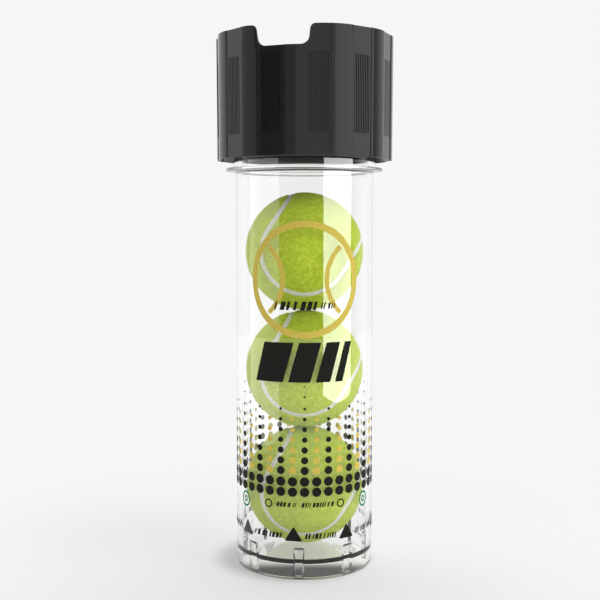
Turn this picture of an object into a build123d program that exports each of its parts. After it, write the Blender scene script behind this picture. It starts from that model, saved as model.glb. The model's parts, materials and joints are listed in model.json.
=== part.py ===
"""Reusable pressure-holding tennis ball can: clear tube, black screw lid, valve and three balls.

The frame: +Z up, origin at the middle of the foot, millimetres. The front of the can faces -Y.
"""

from build123d import *
from math import cos, degrees, radians, sin
import os

os.makedirs("parts", exist_ok=True)

# ---------------------------------------------------------------- driving dimensions

# Balls
BALL_RADIUS = 33.35
BALL_GAP = 0.3  # between neighbours, and under the lowest ball
CORE_RADIUS = 30.3  # outside of the rubber, under the felt
CORE_WALL = 3.3
SEAM_WIDTH = 2.9
SEAM_DEPTH_BELOW_FELT = 0.4
SEAM_TILT = 32.5  # degrees the balls lie over, from +Z towards +X
BALL_LEVELS = ("bottom", "middle", "top")

# Clear tube
TUBE_RADIUS = 38.9
TUBE_WALL = 3.0
FOOT_ROUND = 1.0
FLOOR_TOP = 10.15
FLOOR_THICKNESS = 2.15
FLANGE_RADIUS = 44.2
FLANGE_FOOT_Z = 222.0  # where the flange's sloping underside leaves the tube
FLANGE_EDGE_Z = 222.6
FLANGE_TOP_Z = 224.2
NECK_RADIUS = 40.0
NECK_TOP_Z = 250.0
EDGE_BREAK = 0.6

# Corner ribs inside the wall, above the floor and inside the hollow foot
RIB_COUNT = 8
RIB_TURN = -5.0  # degrees of the front rib from -Y
RIB_DEPTH = 2.5
RIB_WALL_WIDTH, RIB_WALL_TOP_Z = 6.6, 17.7
RIB_FACE_WIDTH, RIB_FACE_TOP_Z = 4.1, 15.5

# Screw thread, three starts
STARTS = 3
LEAD = 12.0
THREAD_HEIGHT = 1.5
THREAD_ROOT_WIDTH, THREAD_CREST_WIDTH = 2.2, 1.0
LID_THREAD_HEIGHT = 1.5
LID_ROOT_WIDTH, LID_CREST_WIDTH = 1.9, 0.8
THREAD_EMBED = 0.3
NECK_THREAD_FROM_Z, NECK_THREAD_TURNS = 231.5, 1.1
LID_THREAD_FROM_Z, LID_THREAD_TURNS = 233.5, 0.9

# Lid
LID_BOTTOM_Z = 228.8
LID_TOP_Z = 296.8
LOBE_RADIUS, LOBE_EDGE_RADIUS = 49.6, 49.25
PANEL_RADIUS = 48.8
PANEL_COUNT = 12
PANEL_TURN = 8.5  # degrees of the first grip panel from -Y
PANEL_HALF_ANGLE = 7.5
POCKET_WIDTH, POCKET_DEPTH = 10.0, 0.4
POCKET_FROM_Z, POCKET_TO_Z = 241.4, 282.0
CUP_RADIUS = 46.0
DECK_TOP_Z, DECK_BOTTOM_Z = 259.0, 255.9
COLLAR_BORE = 42.0
DECK_HOLE_RADIUS = 12.1
NOTCH_TURN = -13.8
NOTCH_FLOOR_Z = 285.3
NOTCH_HALF_WIDTH = 14.2
NOTCH_FLOOR_ROUND = 3.5
NOTCH_LIP_ROUND = 2.8

# Plug
PLUG_BOTTOM_Z = 229.5
PLUG_RADIUS = TUBE_RADIUS - TUBE_WALL - 0.3
PLUG_WALL = 3.0
PLUG_FLANGE_RADIUS = 39.5
GASKET_THICKNESS = 1.2
PLUG_PLATE_THICKNESS = 3.4
SLIP_WASHER_THICKNESS = 1.1
BOSS_RADIUS = 11.8
BOSS_TOP_Z = 262.0
RING_GROOVE_Z, RING_GROOVE_HEIGHT, RING_GROOVE_DEPTH = 259.3, 1.3, 1.0
O_RING_Z, O_RING_SECTION, O_RING_GROOVE_DEPTH = 236.0, 2.6, 2.45

# Valve
STEM_RADIUS, STEM_NECK_RADIUS = 4.4, 3.87
STEM_TOP_Z, STEM_NECK_FROM_Z = 286.0, 268.0
STEM_HEAD_RADIUS, STEM_HEAD_HEIGHT = 7.5, 1.7
STEM_BORE, STEM_LOWER_BORE = 2.6, 1.3
SPRING_SEAT_Z = 256.0
GROMMET_THICKNESS, GROMMET_RADIUS = 2.5, 8.5
VALVE_HOLE = 4.55
WASHER_RADIUS, WASHER_THICKNESS = 8.5, 1.2
NUT_FLATS, NUT_HEIGHT = 12.0, 4.0
CORE_BODY_FROM_Z, CORE_BODY_TO_Z = 270.0, 284.0
PIN_RADIUS, PIN_HOLE = 0.65, 0.75
PIN_TOP_Z = 285.4
PIN_HEAD_RADIUS, PIN_HEAD_HEIGHT = 1.8, 2.5
SPRING_WIRE, SPRING_RADIUS, SPRING_TURNS = 0.5, 1.6, 6

# ---------------------------------------------------------------- worked out from them

TUBE_BORE = TUBE_RADIUS - TUBE_WALL
PITCH = LEAD / STARTS
PLATE_BOTTOM_Z = NECK_TOP_Z + GASKET_THICKNESS
PLATE_TOP_Z = PLATE_BOTTOM_Z + PLUG_PLATE_THICKNESS
SLIP_TOP_Z = PLATE_TOP_Z + SLIP_WASHER_THICKNESS
STEM_SHOULDER_Z = PLATE_BOTTOM_Z - GROMMET_THICKNESS
STEM_BOTTOM_Z = STEM_SHOULDER_Z - STEM_HEAD_HEIGHT
WASHER_TOP_Z = BOSS_TOP_Z + WASHER_THICKNESS
PIN_HEAD_TOP_Z = CORE_BODY_FROM_Z - 0.1
PIN_HEAD_BOTTOM_Z = PIN_HEAD_TOP_Z - PIN_HEAD_HEIGHT


def front_plane(turn):
    """Upright plane through the axis: local x is tangential, y is up, z points out at turn."""
    a = radians(turn)
    return Plane(origin=(0, 0, 0), x_dir=(cos(a), sin(a), 0), z_dir=(sin(a), -cos(a), 0))


def save(part, name):
    """Label a finished piece and write its STEP file."""
    part.label = name
    export_step(part, f"parts/{name}.step")


def ring(name, inner, outer, bottom, top):
    """A plain flat ring, such as a washer or a gasket."""
    with BuildPart() as washer:
        with BuildSketch(Plane.XY.offset(bottom)):
            Circle(outer)
            Circle(inner, mode=Mode.SUBTRACT)
        extrude(amount=top - bottom)
    save(washer.part, name)


def thread_ridges(root, crest, root_width, crest_width, from_z, turns):
    """Three helical ridges of trapezoid section, one for each start."""
    embed = THREAD_EMBED if crest > root else -THREAD_EMBED
    with BuildPart() as ridges:
        for start in range(STARTS):
            with BuildLine(Plane.XY.offset(from_z).rotated((0, 0, 360 / STARTS * start))) as path:
                Helix(pitch=LEAD, height=LEAD * turns, radius=root)
            begin = path.line @ 0
            out = Vector(begin.X, begin.Y, 0).normalized()
            section = Plane(origin=begin, x_dir=out, z_dir=out.cross(Vector(0, 0, 1)) * -1)
            with BuildSketch(section):
                with BuildLine():
                    Polyline(
                        (-embed, -root_width / 2),
                        (0, -root_width / 2),
                        (crest - root, -crest_width / 2),
                        (crest - root, crest_width / 2),
                        (0, root_width / 2),
                        (-embed, root_width / 2),
                        close=True,
                    )
                make_face()
            sweep(path=path.line, is_frenet=True)
    return ridges.part


# ---------------------------------------------------------------- clear tube

with BuildPart() as tube:
    with BuildSketch(Plane.XZ):
        with BuildLine():
            FilletPolyline(
                (TUBE_BORE + EDGE_BREAK, 0),
                (TUBE_RADIUS, 0),
                (TUBE_RADIUS, FLANGE_FOOT_Z),
                radius=FOOT_ROUND,
            )
            Polyline(
                (TUBE_RADIUS, FLANGE_FOOT_Z),
                (FLANGE_RADIUS, FLANGE_EDGE_Z),
                (FLANGE_RADIUS, FLANGE_TOP_Z),
                (NECK_RADIUS, FLANGE_TOP_Z),
                (NECK_RADIUS, NECK_TOP_Z - EDGE_BREAK),
                (NECK_RADIUS - EDGE_BREAK, NECK_TOP_Z),
                (TUBE_BORE + EDGE_BREAK, NECK_TOP_Z),
                (TUBE_BORE, NECK_TOP_Z - EDGE_BREAK),
                (TUBE_BORE, FLOOR_TOP),
                (0, FLOOR_TOP),
                (0, FLOOR_TOP - FLOOR_THICKNESS),
                (TUBE_BORE, FLOOR_TOP - FLOOR_THICKNESS),
                (TUBE_BORE, EDGE_BREAK),
                (TUBE_BORE + EDGE_BREAK, 0),
            )
        make_face()
    revolve(axis=Axis.Z)
    # Each rib tapers from the wall to its narrower, lower face
    for index in range(RIB_COUNT):
        rib_plane = front_plane(RIB_TURN + 360 / RIB_COUNT * index)
        for depth, width, top in (
            (TUBE_BORE + 1.0, RIB_WALL_WIDTH, RIB_WALL_TOP_Z),
            (TUBE_BORE - RIB_DEPTH, RIB_FACE_WIDTH, RIB_FACE_TOP_Z),
        ):
            with BuildSketch(rib_plane.offset(depth)):
                with Locations((0, (top + EDGE_BREAK) / 2)):
                    Rectangle(width, top - EDGE_BREAK)
        loft()
    add(
        thread_ridges(
            NECK_RADIUS,
            NECK_RADIUS + THREAD_HEIGHT,
            THREAD_ROOT_WIDTH,
            THREAD_CREST_WIDTH,
            NECK_THREAD_FROM_Z,
            NECK_THREAD_TURNS,
        )
    )
save(tube.part, "tube")

# ---------------------------------------------------------------- lid

with BuildPart() as crown:
    with BuildSketch(Plane.XY.offset(LID_BOTTOM_Z)):
        with BuildLine():
            step = 360 / PANEL_COUNT
            for index in range(PANEL_COUNT):
                # Angles are measured from -Y towards +X, so 90 degrees are taken off
                middle = PANEL_TURN + step * index - 90
                first, last = middle - PANEL_HALF_ANGLE, middle + PANEL_HALF_ANGLE
                following = middle + step - PANEL_HALF_ANGLE
                panel_start = Vector(PANEL_RADIUS, 0).rotate(Axis.Z, first)
                panel_end = Vector(PANEL_RADIUS, 0).rotate(Axis.Z, last)
                lobe_start = Vector(LOBE_EDGE_RADIUS, 0).rotate(Axis.Z, last)
                lobe_top = Vector(LOBE_RADIUS, 0).rotate(Axis.Z, middle + step / 2)
                lobe_end = Vector(LOBE_EDGE_RADIUS, 0).rotate(Axis.Z, following)
                next_panel = Vector(PANEL_RADIUS, 0).rotate(Axis.Z, following)
                Polyline(panel_start, panel_end, lobe_start)
                ThreePointArc(lobe_start, lobe_top, lobe_end)
                Line(lobe_end, next_panel)
        make_face()
    extrude(amount=LID_TOP_Z - LID_BOTTOM_Z)
    # Threaded collar below the deck, open cup above it
    with BuildSketch(Plane.XY.offset(LID_BOTTOM_Z)):
        Circle(COLLAR_BORE)
    extrude(amount=DECK_BOTTOM_Z - LID_BOTTOM_Z, mode=Mode.SUBTRACT)
    with BuildSketch(Plane.XY.offset(DECK_TOP_Z)):
        Circle(CUP_RADIUS)
    extrude(amount=LID_TOP_Z - DECK_TOP_Z, mode=Mode.SUBTRACT)
    with BuildSketch(Plane.XY.offset(DECK_BOTTOM_Z)):
        Circle(DECK_HOLE_RADIUS)
    extrude(amount=DECK_TOP_Z - DECK_BOTTOM_Z, mode=Mode.SUBTRACT)
    # Grip pockets in the panels
    panel_face = PANEL_RADIUS * cos(radians(PANEL_HALF_ANGLE))
    for index in range(PANEL_COUNT):
        pocket_plane = front_plane(PANEL_TURN + step * index).offset(panel_face - POCKET_DEPTH)
        with BuildSketch(pocket_plane):
            with Locations((0, (POCKET_FROM_Z + POCKET_TO_Z) / 2)):
                Rectangle(POCKET_WIDTH, POCKET_TO_Z - POCKET_FROM_Z)
        extrude(amount=2 * POCKET_DEPTH, mode=Mode.SUBTRACT)
    # Two opposite rim notches with rounded floors and lips
    with BuildSketch(front_plane(NOTCH_TURN)):
        with BuildLine():
            for side in (-1, 1):
                half = side * NOTCH_HALF_WIDTH
                lip_end = half + side * NOTCH_LIP_ROUND
                floor_end = half - side * NOTCH_FLOOR_ROUND
                turn_in = NOTCH_FLOOR_ROUND * (1 - sin(radians(45)))
                turn_out = NOTCH_LIP_ROUND * (1 - sin(radians(45)))
                Line((0, NOTCH_FLOOR_Z), (floor_end, NOTCH_FLOOR_Z))
                ThreePointArc(
                    (floor_end, NOTCH_FLOOR_Z),
                    (half - side * turn_in, NOTCH_FLOOR_Z + turn_in),
                    (half, NOTCH_FLOOR_Z + NOTCH_FLOOR_ROUND),
                )
                Line((half, NOTCH_FLOOR_Z + NOTCH_FLOOR_ROUND), (half, LID_TOP_Z - NOTCH_LIP_ROUND))
                ThreePointArc(
                    (half, LID_TOP_Z - NOTCH_LIP_ROUND),
                    (half + side * turn_out, LID_TOP_Z - turn_out),
                    (lip_end, LID_TOP_Z),
                )
                Polyline((lip_end, LID_TOP_Z), (lip_end, LID_TOP_Z + 1), (0, LID_TOP_Z + 1))
        make_face()
    extrude(amount=LOBE_RADIUS + 5, both=True, mode=Mode.SUBTRACT)
    add(
        thread_ridges(
            COLLAR_BORE,
            COLLAR_BORE - LID_THREAD_HEIGHT,
            LID_ROOT_WIDTH,
            LID_CREST_WIDTH,
            LID_THREAD_FROM_Z,
            LID_THREAD_TURNS,
        )
    )
save(crown.part, "crown")

# ---------------------------------------------------------------- plug and its seals

with BuildPart() as plug:
    with BuildSketch(Plane.XZ):
        with BuildLine():
            Polyline(
                (VALVE_HOLE, PLATE_BOTTOM_Z),
                (PLUG_RADIUS - PLUG_WALL, PLATE_BOTTOM_Z),
                (PLUG_RADIUS - PLUG_WALL, PLUG_BOTTOM_Z),
                (PLUG_RADIUS - EDGE_BREAK, PLUG_BOTTOM_Z),
                (PLUG_RADIUS, PLUG_BOTTOM_Z + EDGE_BREAK),
                (PLUG_RADIUS, PLATE_BOTTOM_Z),
                (PLUG_FLANGE_RADIUS, PLATE_BOTTOM_Z),
                (PLUG_FLANGE_RADIUS, PLATE_TOP_Z),
                (BOSS_RADIUS, PLATE_TOP_Z),
                (BOSS_RADIUS, RING_GROOVE_Z),
                (BOSS_RADIUS - RING_GROOVE_DEPTH, RING_GROOVE_Z),
                (BOSS_RADIUS - RING_GROOVE_DEPTH, RING_GROOVE_Z + RING_GROOVE_HEIGHT),
                (BOSS_RADIUS, RING_GROOVE_Z + RING_GROOVE_HEIGHT),
                (BOSS_RADIUS, BOSS_TOP_Z),
                (VALVE_HOLE, BOSS_TOP_Z),
                close=True,
            )
        make_face()
        with Locations((PLUG_RADIUS, O_RING_Z)):
            Rectangle(2 * O_RING_GROOVE_DEPTH, O_RING_SECTION + 0.6, mode=Mode.SUBTRACT)
    revolve(axis=Axis.Z)
save(plug.part, "plug")

with BuildPart() as o_ring:
    with BuildSketch(Plane.XZ):
        with Locations((PLUG_RADIUS - O_RING_GROOVE_DEPTH + O_RING_SECTION / 2 + 0.05, O_RING_Z)):
            Circle(O_RING_SECTION / 2)
    revolve(axis=Axis.Z)
save(o_ring.part, "plug_o_ring")

ring("rim_gasket", PLUG_RADIUS + 0.2, PLUG_FLANGE_RADIUS, NECK_TOP_Z, PLATE_BOTTOM_Z)
ring("slip_washer", BOSS_RADIUS + 0.2, PLUG_FLANGE_RADIUS - 0.5, PLATE_TOP_Z, SLIP_TOP_Z)

# Split spring ring in the boss groove, above the deck
with BuildPart() as retaining_ring:
    with BuildSketch(Plane.XY.offset(RING_GROOVE_Z + 0.1)):
        Circle(BOSS_RADIUS + 2.2)
        Circle(BOSS_RADIUS - RING_GROOVE_DEPTH + 0.05, mode=Mode.SUBTRACT)
        with Locations((BOSS_RADIUS, 0)):
            Rectangle(8, 5, mode=Mode.SUBTRACT)
    extrude(amount=RING_GROOVE_HEIGHT - 0.2)
save(retaining_ring.part, "retaining_ring")

# ---------------------------------------------------------------- inflation valve

with BuildPart() as stem:
    with BuildSketch(Plane.XZ):
        with BuildLine():
            Polyline(
                (STEM_LOWER_BORE, STEM_BOTTOM_Z),
                (STEM_HEAD_RADIUS, STEM_BOTTOM_Z),
                (STEM_HEAD_RADIUS, STEM_SHOULDER_Z),
                (STEM_RADIUS, STEM_SHOULDER_Z),
                (STEM_RADIUS, STEM_NECK_FROM_Z),
                (STEM_NECK_RADIUS, STEM_NECK_FROM_Z),
                (STEM_NECK_RADIUS, STEM_TOP_Z),
                (STEM_BORE, STEM_TOP_Z),
                (STEM_BORE, SPRING_SEAT_Z),
                (STEM_LOWER_BORE, SPRING_SEAT_Z),
                close=True,
            )
        make_face()
    revolve(axis=Axis.Z)
save(stem.part, "valve_stem")

ring("valve_grommet", STEM_RADIUS + 0.05, GROMMET_RADIUS, STEM_SHOULDER_Z, PLATE_BOTTOM_Z)
ring("valve_washer", STEM_RADIUS + 0.1, WASHER_RADIUS, BOSS_TOP_Z, WASHER_TOP_Z)

with BuildPart() as nut:
    with BuildSketch(Plane.XY.offset(WASHER_TOP_Z)):
        RegularPolygon(NUT_FLATS / 2, 6, major_radius=False)
        Circle(STEM_RADIUS + 0.05, mode=Mode.SUBTRACT)
    extrude(amount=NUT_HEIGHT)
    # Chamfered upper corners
    with BuildSketch(Plane.XZ):
        with BuildLine():
            Polyline(
                (NUT_FLATS / 2, WASHER_TOP_Z + NUT_HEIGHT),
                (NUT_FLATS / 2 + 2, WASHER_TOP_Z + NUT_HEIGHT),
                (NUT_FLATS / 2 + 2, WASHER_TOP_Z + NUT_HEIGHT - 1.1),
                close=True,
            )
        make_face()
    revolve(axis=Axis.Z, mode=Mode.SUBTRACT)
save(nut.part, "valve_nut")

ring("valve_core", PIN_HOLE, STEM_BORE - 0.05, CORE_BODY_FROM_Z, CORE_BODY_TO_Z)

with BuildPart() as pin:
    with BuildSketch(Plane.XZ):
        with BuildLine():
            Polyline(
                (0, PIN_HEAD_BOTTOM_Z),
                (PIN_HEAD_RADIUS, PIN_HEAD_BOTTOM_Z),
                (PIN_HEAD_RADIUS, PIN_HEAD_TOP_Z),
                (PIN_RADIUS, PIN_HEAD_TOP_Z),
                (PIN_RADIUS, PIN_TOP_Z),
                (0, PIN_TOP_Z),
                close=True,
            )
        make_face()
    revolve(axis=Axis.Z)
save(pin.part, "valve_pin")

# The coil stands on the seat in the stem and ends just under the pin's head
spring_height = PIN_HEAD_BOTTOM_Z - SPRING_SEAT_Z - SPRING_WIRE - 0.1
with BuildPart() as spring:
    with BuildLine(Plane.XY.offset(SPRING_SEAT_Z + SPRING_WIRE / 2 + 0.05)) as coil:
        Helix(pitch=spring_height / SPRING_TURNS, height=spring_height, radius=SPRING_RADIUS)
    with BuildSketch(Plane(origin=coil.line @ 0, z_dir=coil.line % 0)):
        Circle(SPRING_WIRE / 2)
    sweep(path=coil.line, is_frenet=True)
save(spring.part, "valve_spring")

# ---------------------------------------------------------------- balls

# The seam runs round four half circles, each 45 degrees from its own centre: two about the ball's
# x axis in its upper half, and two about its y axis in its lower half. They join in the z = 0 plane.
SEAM_HALF_ANGLE = degrees(SEAM_WIDTH / 2 / BALL_RADIUS)
NEAR, FAR = 45 - SEAM_HALF_ANGLE, 45 + SEAM_HALF_ANGLE


def half_turns(inner, outer, sectors):
    """Sectors of a thick circle in the z = 0 plane, each turned half way round its axis."""
    with BuildPart() as shell:
        for from_angle, to_angle, axis in sectors:
            with BuildSketch(Plane.XY):
                with BuildLine():
                    near_arc = CenterArc((0, 0), inner, from_angle, to_angle - from_angle)
                    far_arc = CenterArc((0, 0), outer, from_angle, to_angle - from_angle)
                    Line(near_arc @ 0, far_arc @ 0)
                    Line(near_arc @ 1, far_arc @ 1)
                make_face()
            revolve(axis=axis, revolution_arc=180)
    return shell.part


def core_half(from_angle):
    """Half of the hollow rubber core, on one side of the ball's z = 0 plane."""
    with BuildPart() as half:
        with BuildSketch(Plane.XZ):
            with BuildLine():
                inside = CenterArc((0, 0), CORE_RADIUS - CORE_WALL, from_angle, 90)
                outside = CenterArc((0, 0), CORE_RADIUS, from_angle, 90)
                Line(inside @ 0, outside @ 0)
                Line(inside @ 1, outside @ 1)
            make_face()
        revolve(axis=Axis.Z)
    return half.part


ball_pieces = {
    "core_lower": core_half(-90),
    "core_upper": core_half(0),
    "felt_a": half_turns(
        CORE_RADIUS,
        BALL_RADIUS,
        [(FAR, 180 - FAR, Axis.X), (FAR, 90, Axis.Y), (-90, -FAR, Axis.Y)],
    ),
    "felt_b": half_turns(
        CORE_RADIUS,
        BALL_RADIUS,
        [(0, NEAR, Axis.X), (180 - NEAR, 180, Axis.X), (-NEAR, NEAR, Axis.Y)],
    ),
    "seam": half_turns(
        CORE_RADIUS,
        BALL_RADIUS - SEAM_DEPTH_BELOW_FELT,
        [
            (NEAR, FAR, Axis.X),
            (180 - FAR, 180 - NEAR, Axis.X),
            (NEAR, FAR, Axis.Y),
            (-FAR, -NEAR, Axis.Y),
        ],
    ),
}

tilt = radians(SEAM_TILT)
for level, ball_name in enumerate(BALL_LEVELS):
    centre_z = FLOOR_TOP + BALL_GAP + BALL_RADIUS + level * (2 * BALL_RADIUS + BALL_GAP)
    ball_plane = Plane(
        origin=(0, 0, centre_z), x_dir=(cos(tilt), 0, -sin(tilt)), z_dir=(sin(tilt), 0, cos(tilt))
    )
    for piece_name, piece in ball_pieces.items():
        save(ball_plane.from_local_coords(piece), f"{ball_name}_ball_{piece_name}")
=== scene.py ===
"""Looks of a reusable, pressure-holding tennis ball can.

A clear tube holds three balls under a tall black screw lid, with an inflation valve in its middle.
Fields named for a size are in millimetres. Meshes are in metres, in the frame's own axes: +Z up,
the can's front towards -Y.
"""

import json
import logging
import math
import random
from collections.abc import Callable, Iterable, Sequence
from dataclasses import dataclass
from enum import Enum
from functools import cache

import bmesh
import bpy
from mathutils import Matrix, Vector, noise

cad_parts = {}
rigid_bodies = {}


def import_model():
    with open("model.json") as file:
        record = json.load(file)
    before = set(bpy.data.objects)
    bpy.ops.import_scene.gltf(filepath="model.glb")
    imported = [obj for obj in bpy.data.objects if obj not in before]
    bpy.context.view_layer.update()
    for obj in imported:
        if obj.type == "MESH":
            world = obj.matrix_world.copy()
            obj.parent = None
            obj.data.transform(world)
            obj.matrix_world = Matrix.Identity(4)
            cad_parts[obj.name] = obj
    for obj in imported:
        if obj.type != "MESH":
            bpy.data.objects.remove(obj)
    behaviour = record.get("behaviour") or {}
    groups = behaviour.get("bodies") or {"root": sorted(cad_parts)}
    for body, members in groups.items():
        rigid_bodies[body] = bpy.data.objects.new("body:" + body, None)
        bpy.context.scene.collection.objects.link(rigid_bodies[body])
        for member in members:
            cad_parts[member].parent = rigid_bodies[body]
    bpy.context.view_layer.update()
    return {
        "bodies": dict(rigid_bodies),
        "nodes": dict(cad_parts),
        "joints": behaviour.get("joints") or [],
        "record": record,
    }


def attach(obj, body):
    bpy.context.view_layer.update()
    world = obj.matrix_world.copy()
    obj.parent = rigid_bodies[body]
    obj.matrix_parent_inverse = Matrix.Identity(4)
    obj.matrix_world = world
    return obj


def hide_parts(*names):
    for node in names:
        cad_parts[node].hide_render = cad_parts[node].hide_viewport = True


LOG = logging.getLogger("ball_can")
MM = 0.001
AXIS_UP = Vector((0, 0, 1))
Point2 = tuple[float, float]
Colour = tuple[float, float, float]
THREAD_STARTS = 3
THREAD_LEAD = 12.0
LOWEST_BALL = 43.8
BALL_PITCH = 67.0
Mesh = bmesh.types.BMesh
Vert = bmesh.types.BMVert
Node = bpy.types.Node
Socket = bpy.types.NodeSocket


class Body(Enum):
    """The moving bodies that a piece may ride on."""

    CAN = "can"
    INNER_CAP = "inner_cap"
    LID = "lid"
    PIN = "pin"
    BALL_BOTTOM = "ball_bottom"
    BALL_MIDDLE = "ball_middle"
    BALL_TOP = "ball_top"


class Slot(Enum):
    """The record's material slots."""

    CLEAR = "clear_plastic"
    BLACK = "black_plastic"
    SEAL = "seal_rubber"
    WHITE = "white_plastic"
    STEEL = "steel"
    BRASS = "brass"
    CORE = "core_rubber"
    FELT = "felt"
    SEAM = "seam_rubber"


# --- finishes


class NodeBench:
    """A short way to add and join the nodes of one material."""

    def __init__(self, tree: bpy.types.NodeTree) -> None:
        """Keep the tree to work on.

        Args:
            tree: The node tree of a material or a world.
        """
        self.tree = tree

    def add(self, kind: str, inputs: dict[str, object] | None = None, **settings: object) -> Node:
        """Add a node.

        Args:
            kind: The node's type, such as ShaderNodeBump.
            inputs: Values, or output sockets to link, by the name of the input.
            settings: The node's own properties.

        Returns:
            The new node.
        """
        node = self.tree.nodes.new(kind)
        for name, value in settings.items():
            setattr(node, name, value)
        for name, value in (inputs or {}).items():
            if isinstance(value, Socket):
                self.tree.links.new(value, node.inputs[name])
            else:
                node.inputs[name].default_value = value
        return node

    def place(self) -> Socket:
        """Return the Object coordinates, in metres."""
        return self.add("ShaderNodeTexCoord").outputs["Object"]

    def grain(self, scale: float, detail: float = 3.0, stretch: Sequence[float] = (1, 1, 1)) -> Socket:
        """Add noise on Object coordinates.

        Args:
            scale: How many grains there are to a metre.
            detail: The noise's octaves.
            stretch: Scale along x, y and z, for brushed or drawn surfaces.

        Returns:
            The noise's grey value, from 0 to 1.
        """
        mapped = self.add("ShaderNodeMapping", {"Vector": self.place(), "Scale": stretch})
        made = self.add(
            "ShaderNodeTexNoise",
            {"Vector": mapped.outputs["Vector"], "Scale": scale, "Detail": detail, "Roughness": 0.6}
        )
        return made.outputs["Fac"]

    def bump(
        self, height: Socket, strength: float, depth: float, under: Socket | None = None
    ) -> Socket:
        """Turn a height into a normal.

        Args:
            height: The grey value to raise.
            strength: The bump's strength.
            depth: What a height of one stands for, in millimetres.
            under: A normal that this one is laid over.

        Returns:
            The new normal.
        """
        inputs = {"Height": height, "Strength": strength, "Distance": depth * MM}
        if under is not None:
            inputs["Normal"] = under
        return self.add("ShaderNodeBump", inputs).outputs["Normal"]

    def ramp(self, factor: Socket, stops: Sequence[tuple[float, Colour]]) -> Socket:
        """Colour a grey value.

        Args:
            factor: The grey value.
            stops: The place and the colour of each stop, lowest first.

        Returns:
            The colour.
        """
        node = self.add("ShaderNodeValToRGB", {"Fac": factor})
        elements = node.color_ramp.elements
        while len(elements) < len(stops):
            elements.new(0.5)
        for element, (place, colour) in zip(elements, stops):
            element.position = place
            element.color = (*colour, 1)
        return node.outputs["Color"]

    def spread(self, factor: Socket, low: float, high: float) -> Socket:
        """Fit a grey value between two numbers.

        Args:
            factor: The grey value; noise keeps mostly between 0.3 and 0.7.
            low: What 0.3 becomes.
            high: What 0.7 becomes.

        Returns:
            The fitted value.
        """
        inputs = {"Value": factor, "From Min": 0.3, "From Max": 0.7, "To Min": low, "To Max": high}
        return self.add("ShaderNodeMapRange", inputs).outputs["Result"]


@dataclass(frozen=True)
class Finish:
    """A finish of one Principled shader, to which a kind of finish adds its texture."""

    name: str
    slot: Slot
    colour: Colour
    roughness: float
    specular: float = 0.5

    def material(self) -> bpy.types.Material:
        """Return the material, made the first time that it is asked for."""
        return built_material(self)

    def build(self) -> bpy.types.Material:
        """Make the material.

        Returns:
            A material whose shader has this finish's colour, roughness and texture.
        """
        made = bpy.data.materials.new(self.name)
        made.use_nodes = True
        bench = NodeBench(made.node_tree)
        shader = made.node_tree.nodes["Principled BSDF"]
        shader.inputs["Base Color"].default_value = (*self.colour, 1)
        shader.inputs["Roughness"].default_value = self.roughness
        shader.inputs["Specular IOR Level"].default_value = self.specular
        self.texture(bench, shader)
        made.diffuse_color = (*self.colour, 1)
        return made

    def texture(self, bench: NodeBench, shader: Node) -> None:
        """Add what this kind of finish shows close up; the plain finish adds nothing."""

    def vary(self, bench: NodeBench, shader: Node, grain: Socket, by: float) -> None:
        """Let the colour wander a little with a grain.

        Args:
            bench: The material's nodes.
            shader: Its Principled shader.
            grain: The grey value to follow.
            by: How far the colour goes below and above its own, as a share.
        """
        dark = tuple(c * (1 - by) for c in self.colour)
        light = tuple(min(1.0, c * (1 + by)) for c in self.colour)
        colour = bench.ramp(grain, [(0.3, dark), (0.7, light)])
        bench.tree.links.new(colour, shader.inputs["Base Color"])


@cache
def built_material(finish: Finish) -> bpy.types.Material:
    """Build a finish's material once.

    Args:
        finish: The finish.

    Returns:
        Its only material.
    """
    return finish.build()


@dataclass(frozen=True)
class MouldedPlastic(Finish):
    """Opaque moulded plastic with a fine spark-eroded skin."""

    skin: float = 3800.0
    skin_depth: float = 0.05

    def texture(self, bench: NodeBench, shader: Node) -> None:
        """Add the skin's grain, slow flow marks and the handling gloss."""
        skin = bench.grain(self.skin, 2.0)
        flow = bench.grain(55.0, 3.0, (1, 1, 0.35))
        gloss = bench.spread(bench.grain(240.0, 4.0), self.roughness - 0.03, self.roughness + 0.05)
        soft = bench.bump(flow, 0.2, 0.08)
        fine = bench.bump(skin, 0.35, self.skin_depth, soft)
        self.vary(bench, shader, flow, 0.12)
        bench.tree.links.new(gloss, shader.inputs["Roughness"])
        bench.tree.links.new(fine, shader.inputs["Normal"])


@dataclass(frozen=True)
class ClearPlastic(Finish):
    """Polished clear plastic that bends light, and lets lamps reach what is behind it."""

    index: float = 1.55
    shade: float = 0.84

    def texture(self, bench: NodeBench, shader: Node) -> None:
        """Add the clear body, a faint moulding ripple and the way through for lamps."""
        shader.inputs["Transmission Weight"].default_value = 1.0
        shader.inputs["IOR"].default_value = self.index
        ripple = bench.bump(bench.grain(38.0, 1.0, (1, 1, 0.4)), 0.12, 0.12)
        bench.tree.links.new(ripple, shader.inputs["Normal"])
        lamp = bench.add("ShaderNodeLightPath").outputs["Is Shadow Ray"]
        through = bench.add("ShaderNodeBsdfTransparent", {"Color": (self.shade, self.shade, self.shade, 1)})
        mix = bench.add("ShaderNodeMixShader", {"Fac": lamp})
        bench.tree.links.new(shader.outputs["BSDF"], mix.inputs[1])
        bench.tree.links.new(through.outputs["BSDF"], mix.inputs[2])
        output = bench.tree.nodes["Material Output"]
        bench.tree.links.new(mix.outputs["Shader"], output.inputs["Surface"])


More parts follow.
